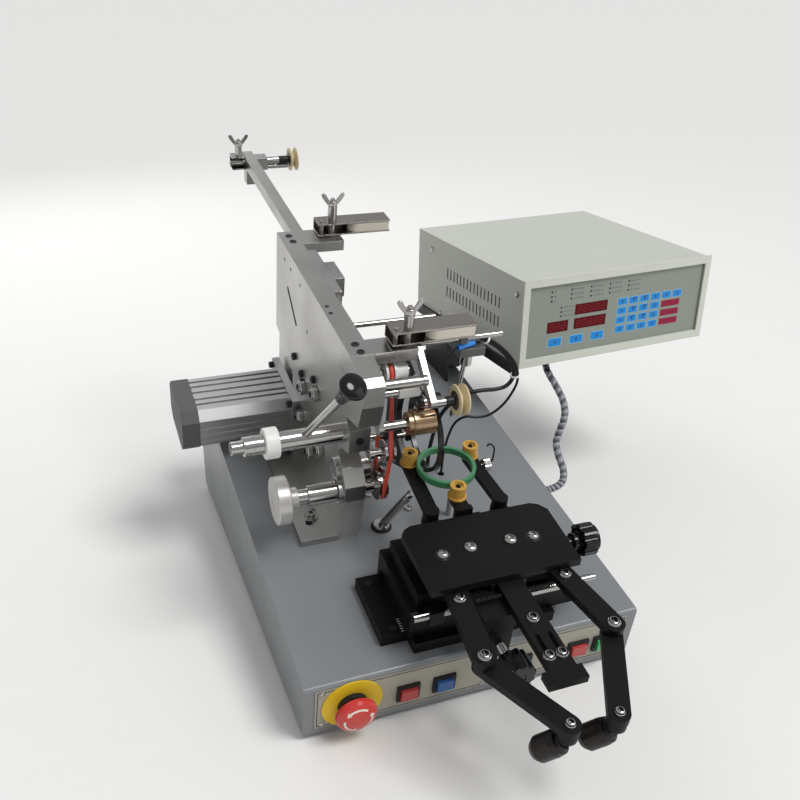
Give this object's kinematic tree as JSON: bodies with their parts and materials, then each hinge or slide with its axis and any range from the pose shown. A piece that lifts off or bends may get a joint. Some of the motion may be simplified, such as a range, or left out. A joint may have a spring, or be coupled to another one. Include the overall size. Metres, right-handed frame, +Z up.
{
  "type": "toroidal coil winding machine",
  "caption": "Bench toroidal winder with sloping blue-grey base, upright aluminium plate, magazine ring, core slide table, wire tensioners and a swung-out control box",
  "frame": {"origin": "on the floor under the middle of the base case", "axes": "+X to the machine's right, +Y to its back, +Z up"},
  "size_m": [0.7101, 0.828, 0.4558],
  "materials": {
    "case_blue_grey": "semi-gloss",
    "foot_rubber": "matt",
    "panel_beige": "satin",
    "bezel_black": "matt",
    "ring_yellow": "satin",
    "inlet_black": "matt",
    "stop_red": "gloss",
    "key_red": "gloss",
    "key_blue": "gloss",
    "key_green": "gloss",
    "plate_aluminium": "fine milled",
    "motor_silver": "extruded",
    "motor_grey": "satin",
    "screw_steel": "bright",
    "rod_steel": "ground",
    "bracket_black": "black anodised",
    "ring_steel": "polished",
    "channel_steel": "brushed",
    "felt_white": "felt",
    "belt_red": "smooth",
    "shelf_black": "powder coat",
    "box_grey": "fine texture",
    "panel_grey": "satin",
    "cable_grey": "spiral wrap",
    "cable_black": "satin",
    "table_black": "black anodised",
    "knob_black": "gloss",
    "grip_black": "satin",
    "knob_silver": "satin",
    "roller_amber": "smooth",
    "core_green": "coated",
    "roller_white": "smooth",
    "roller_bronze": "worn",
    "idler_steel": "turned",
    "pulley_cream": "smooth"
  },
  "bodies": {
    "frame": {"base_case": "case_blue_grey", "feet": "foot_rubber", "front_panel": "panel_beige", "button_bezels": "bezel_black", "stop_ring": "ring_yellow", "mains_inlet": "inlet_black", "foot_plate": "plate_aluminium", "main_plate": "plate_aluminium", "machine_screws": "screw_steel", "top_bars": "plate_aluminium", "motor_body": "motor_silver", "motor_cap": "motor_grey", "bearing_housing": "plate_aluminium", "ring_bracket": "bracket_black", "tension_channels": "channel_steel", "felt_pads": "felt_white", "sensor_block": "bracket_black", "guide_rods": "rod_steel", "drive_belt": "belt_red", "shelf_bracket": "shelf_black", "control_box": "box_grey", "control_panel": "panel_grey", "spiral_cable": "cable_grey", "sensor_leads": "cable_black", "slide_base": "table_black"},
    "drive": {"drive_shaft": "rod_steel", "disc_knob": "knob_silver"},
    "cross_slide": {"cross_slab": "table_black", "guide_rod": "rod_steel"},
    "slide_table": {"table": "table_black", "table_screws": "screw_steel"},
    "tension_lever": {"lever_tube": "rod_steel", "lever_knob": "knob_black"},
    "stop_button_body": {"stop_button": "stop_red"},
    "key_red_1_body": {"key_red_1": "key_red"},
    "key_blue_1_body": {"key_blue_1": "key_blue"},
    "key_blue_2_body": {"key_blue_2": "key_blue"},
    "key_red_2_body": {"key_red_2": "key_red"},
    "key_green_body": {"key_green": "key_green"},
    "star_knob_body": {"star_knob": "knob_black"},
    "lead_screw_body": {"lead_screw": "rod_steel"},
    "centre_bar_body": {"centre_bar": "table_black"},
    "lever_left_body": {"lever_left": "table_black"},
    "lever_right_body": {"lever_right": "table_black"},
    "grip_left_body": {"grip_left": "grip_black"},
    "grip_right_body": {"grip_right": "grip_black"},
    "roller_a_body": {"roller_a": "roller_amber"},
    "roller_b_body": {"roller_b": "roller_amber"},
    "roller_c_body": {"roller_c": "roller_amber"},
    "core_body": {"core": "core_green"},
    "magazine_ring_body": {"magazine_ring": "ring_steel"},
    "belt_spool_body": {"belt_spool": "roller_white"},
    "white_roller_body": {"white_roller": "roller_white"},
    "bronze_roller_body": {"bronze_roller": "roller_bronze"},
    "idler_pulley_body": {"idler_pulley": "idler_steel"},
    "front_pulley_body": {"front_pulley": "pulley_cream"},
    "rear_pulley_body": {"rear_pulley": "pulley_cream"},
    "wing_front_body": {"wing_front": "screw_steel"},
    "wing_middle_body": {"wing_middle": "screw_steel"},
    "wing_rear_body": {"wing_rear": "screw_steel"}
  },
  "joints": [
    {"name": "stop_press", "type": "slide", "parent": "frame", "child": "stop_button_body", "axis": [0, 0.9836, 0.1805], "range_m": [0, 0.004]},
    {"name": "key_red_1_press", "type": "slide", "parent": "frame", "child": "key_red_1_body", "axis": [0, 0.9836, 0.1805], "range_m": [0, 0.003], "stiffness_N_per_m": 400, "springref_m": -0.002},
    {"name": "key_blue_1_press", "type": "slide", "parent": "frame", "child": "key_blue_1_body", "axis": [0, 0.9836, 0.1805], "range_m": [0, 0.003], "stiffness_N_per_m": 400, "springref_m": -0.002},
    {"name": "key_blue_2_press", "type": "slide", "parent": "frame", "child": "key_blue_2_body", "axis": [0, 0.9836, 0.1805], "range_m": [0, 0.003], "stiffness_N_per_m": 400, "springref_m": -0.002},
    {"name": "key_red_2_press", "type": "slide", "parent": "frame", "child": "key_red_2_body", "axis": [0, 0.9836, 0.1805], "range_m": [0, 0.003], "stiffness_N_per_m": 400, "springref_m": -0.002},
    {"name": "key_green_press", "type": "slide", "parent": "frame", "child": "key_green_body", "axis": [0, 0.9836, 0.1805], "range_m": [0, 0.003], "stiffness_N_per_m": 400, "springref_m": -0.002},
    {"name": "drive_turn", "type": "hinge", "parent": "frame", "child": "drive", "pos_m": [-0.087, -0.09446, 0.16872], "axis": [1, 0, 0], "continuous": true},
    {"name": "spool_turn", "type": "hinge", "parent": "frame", "child": "belt_spool_body", "pos_m": [-0.045, -0.12053, 0.30525], "axis": [1, 0, 0], "continuous": true},
    {"name": "idler_turn", "type": "hinge", "parent": "frame", "child": "idler_pulley_body", "pos_m": [-0.045, -0.11896, 0.21912], "axis": [1, 0, 0], "continuous": true},
    {"name": "ring_turn", "type": "hinge", "parent": "frame", "child": "magazine_ring_body", "pos_m": [-0.002, -0.11326, 0.23237], "axis": [1, 0, 0], "continuous": true},
    {"name": "white_roller_turn", "type": "hinge", "parent": "frame", "child": "white_roller_body", "pos_m": [-0.03, -0.13822, 0.29083], "axis": [1, 0, 0], "continuous": true},
    {"name": "bronze_roller_turn", "type": "hinge", "parent": "frame", "child": "bronze_roller_body", "pos_m": [-0.021, -0.14362, 0.25933], "axis": [1, 0, 0], "continuous": true},
    {"name": "front_pulley_turn", "type": "hinge", "parent": "frame", "child": "front_pulley_body", "pos_m": [0.012, -0.16165, 0.28551], "axis": [1, 0, 0], "continuous": true},
    {"name": "rear_pulley_turn", "type": "hinge", "parent": "frame", "child": "rear_pulley_body", "pos_m": [-0.004, 0.37631, 0.41779], "axis": [1, 0, 0], "continuous": true},
    {"name": "tension_lever_turn", "type": "hinge", "parent": "frame", "child": "tension_lever", "pos_m": [-0.129, -0.10567, 0.24088], "axis": [1, 0, 0], "range_deg": [-25, 25]},
    {"name": "wing_front_turn", "type": "hinge", "parent": "frame", "child": "wing_front_body", "pos_m": [-0.026, -0.12412, 0.36357], "axis": [0, -0.1805, 0.9836], "continuous": true},
    {"name": "wing_middle_turn", "type": "hinge", "parent": "frame", "child": "wing_middle_body", "pos_m": [-0.026, 0.1181, 0.41209], "axis": [0, -0.1805, 0.9836], "continuous": true},
    {"name": "wing_rear_turn", "type": "hinge", "parent": "frame", "child": "wing_rear_body", "pos_m": [-0.079, 0.37216, 0.44042], "axis": [0, -0.1805, 0.9836], "continuous": true},
    {"name": "cross_travel", "type": "slide", "parent": "frame", "child": "cross_slide", "axis": [1, 0, 0], "range_m": [-0.004, 0.002]},
    {"name": "star_knob_turn", "type": "hinge", "parent": "cross_slide", "child": "star_knob_body", "pos_m": [0.125, -0.20942, 0.13034], "axis": [1, 0, 0], "range_deg": [-961, 481]},
    {"name": "table_travel", "type": "slide", "parent": "cross_slide", "child": "slide_table", "axis": [0, 0.9836, 0.1805], "range_m": [-0.003, 0.003]},
    {"name": "lead_screw_turn", "type": "hinge", "parent": "cross_slide", "child": "lead_screw_body", "pos_m": [0.001, -0.30703, 0.09717], "axis": [0, 0.9836, 0.1805], "range_deg": [-865, 865]},
    {"name": "centre_bar_travel", "type": "slide", "parent": "slide_table", "child": "centre_bar_body", "axis": [0, 0.9836, 0.1805], "range_m": [-0.003, 0]},
    {"name": "lever_left_turn", "type": "hinge", "parent": "slide_table", "child": "lever_left_body", "pos_m": [-0.0325, -0.23267, 0.15454], "axis": [0, -0.1805, 0.9836], "range_deg": [0, 2.5], "stiffness_Nm_per_rad": 1.5, "springref_deg": -20.05},
    {"name": "lever_right_turn", "type": "hinge", "parent": "slide_table", "child": "lever_right_body", "pos_m": [0.0615, -0.23267, 0.15454], "axis": [0, -0.1805, 0.9836], "range_deg": [-2.5, 0], "stiffness_Nm_per_rad": 1.5, "springref_deg": 20.05},
    {"name": "grip_left_turn", "type": "hinge", "parent": "lever_left_body", "child": "grip_left_body", "pos_m": [0.0004, -0.41392, 0.09789], "axis": [-0.4993, 0.5138, -0.6976], "continuous": true},
    {"name": "grip_right_turn", "type": "hinge", "parent": "lever_right_body", "child": "grip_right_body", "pos_m": [0.0448, -0.41589, 0.09753], "axis": [-0.4993, 0.5138, -0.6976], "continuous": true},
    {"name": "core_turn", "type": "hinge", "parent": "slide_table", "child": "core_body", "pos_m": [0.0148, -0.131, 0.19607], "axis": [0, -0.1805, 0.9836], "continuous": true},
    {"name": "roller_a_turn", "type": "hinge", "parent": "lever_left_body", "child": "roller_a_body", "pos_m": [-0.01675, -0.10872, 0.20169], "axis": [0, -0.1805, 0.9836], "continuous": true},
    {"name": "roller_b_turn", "type": "hinge", "parent": "lever_right_body", "child": "roller_b_body", "pos_m": [0.04924, -0.11326, 0.20085], "axis": [0, -0.1805, 0.9836], "continuous": true},
    {"name": "roller_c_turn", "type": "hinge", "parent": "centre_bar_body", "child": "roller_c_body", "pos_m": [0.01072, -0.16942, 0.19055], "axis": [0, -0.1805, 0.9836], "continuous": true}
  ],
  "couplings": [
    {"joint": "spool_turn", "follows": "drive_turn", "ratio": 1.7647},
    {"joint": "idler_turn", "follows": "drive_turn", "ratio": 1.5},
    {"joint": "ring_turn", "follows": "drive_turn", "ratio": -0.35294},
    {"joint": "star_knob_turn", "follows": "cross_travel", "rad_per_m": 4188.8},
    {"joint": "lead_screw_turn", "follows": "table_travel", "rad_per_m": 5026.6},
    {"joint": "roller_a_turn", "follows": "core_turn", "ratio": -3.7195},
    {"joint": "roller_b_turn", "follows": "core_turn", "ratio": -3.7195},
    {"joint": "roller_c_turn", "follows": "core_turn", "ratio": -3.7195}
  ]
}
